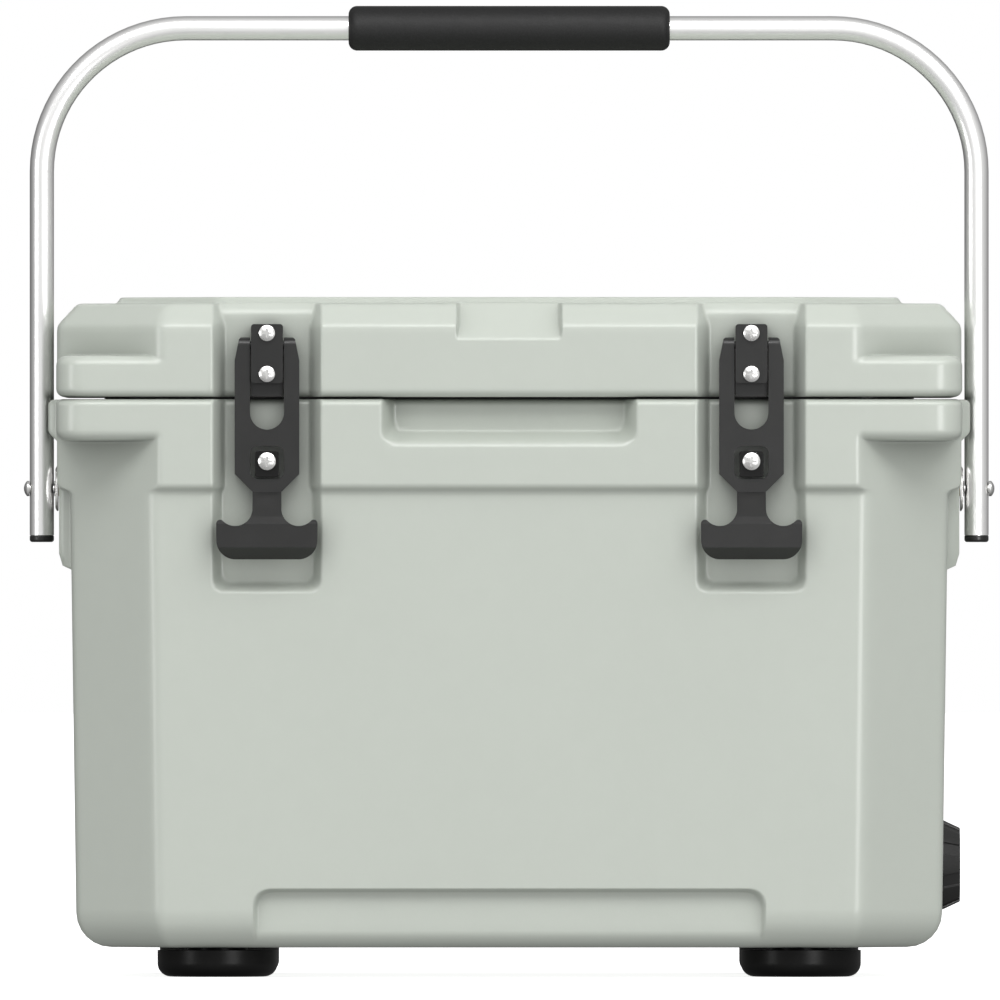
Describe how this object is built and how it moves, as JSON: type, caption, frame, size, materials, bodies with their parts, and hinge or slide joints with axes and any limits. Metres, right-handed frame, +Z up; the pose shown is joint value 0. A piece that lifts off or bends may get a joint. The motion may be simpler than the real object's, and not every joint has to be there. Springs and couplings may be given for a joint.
{
  "type": "hard-sided cooler",
  "caption": "Rotomoulded hard cooler with a hinged lid, swing bail with soft grip, rubber T latches, screw drain plug and round rubber feet.",
  "frame": {"origin": "on the floor, under the middle of the cooler's overall box", "axes": "+Z up, -Y towards the front with the latches, +X to the right as seen from the front"},
  "size_m": [0.5076, 0.3, 0.5067],
  "materials": {
    "shell": "satin",
    "foam": "matte",
    "brass_insert": "satin",
    "black_plastic": "matte",
    "steel": "satin",
    "rubber": "matte"
  },
  "bodies": {
    "body": {"body_shell": "shell", "body_foam": "foam", "body_inserts": "brass_insert", "keeper_left": "black_plastic", "keeper_right": "black_plastic", "keeper_screws": "steel", "pivot_plate_left": "black_plastic", "pivot_plate_right": "black_plastic", "pivot_spacer_left": "black_plastic", "pivot_spacer_right": "black_plastic", "pivot_bolt_left": "steel", "pivot_bolt_right": "steel", "drain_fitting": "black_plastic", "drain_nut": "black_plastic", "drain_washer": "rubber", "foot_front_left": "rubber", "foot_front_right": "rubber", "foot_rear_left": "rubber", "foot_rear_right": "rubber", "foot_screws": "steel", "hinge_rod": "steel", "hinge_caps": "black_plastic"},
    "lid": {"lid_shell": "shell", "lid_foam": "foam", "lid_inserts": "brass_insert", "lid_gasket": "rubber", "latch_bracket_left": "black_plastic", "latch_bracket_right": "black_plastic", "bracket_screws_left": "steel", "bracket_screws_right": "steel", "latch_pin_left": "steel", "latch_pin_right": "steel"},
    "latch_left": {"latch_strap_left": "rubber"},
    "latch_right": {"latch_strap_right": "rubber"},
    "bail": {"handle_tube": "steel", "handle_grip": "rubber", "handle_cap_left": "black_plastic", "handle_cap_right": "black_plastic"},
    "drain_ring": {"drain_seal": "rubber"},
    "drain": {"drain_plug": "black_plastic"}
  },
  "joints": [
    {"name": "lid_hinge", "type": "hinge", "parent": "body", "child": "lid", "pos_m": [0, 0.141, 0.30135], "axis": [-1, 0, 0], "range_deg": [0, 100]},
    {"name": "bail_swing", "type": "hinge", "parent": "body", "child": "bail", "pos_m": [0, 0, 0.2543], "axis": [-1, 0, 0], "range_deg": [0, 141]},
    {"name": "latch_left_swing", "type": "hinge", "parent": "lid", "child": "latch_left", "pos_m": [-0.126, -0.132, 0.3289], "axis": [-1, 0, 0], "range_deg": [0, 150]},
    {"name": "latch_right_swing", "type": "hinge", "parent": "lid", "child": "latch_right", "pos_m": [0.126, -0.132, 0.3289], "axis": [-1, 0, 0], "range_deg": [0, 150]},
    {"name": "drain_travel", "type": "slide", "parent": "body", "child": "drain_ring", "axis": [1, 0, 0], "range_m": [0, 0.0141]},
    {"name": "drain_turn", "type": "hinge", "parent": "drain_ring", "child": "drain", "pos_m": [0.2357, 0, 0.0576], "axis": [1, 0, 0], "range_deg": [0, 1260]}
  ],
  "couplings": [
    {"joint": "bail_swing", "follows": "lid_hinge", "ratio": 1.41},
    {"joint": "drain_travel", "follows": "drain_turn", "m_per_rad": 0.00063662}
  ]
}
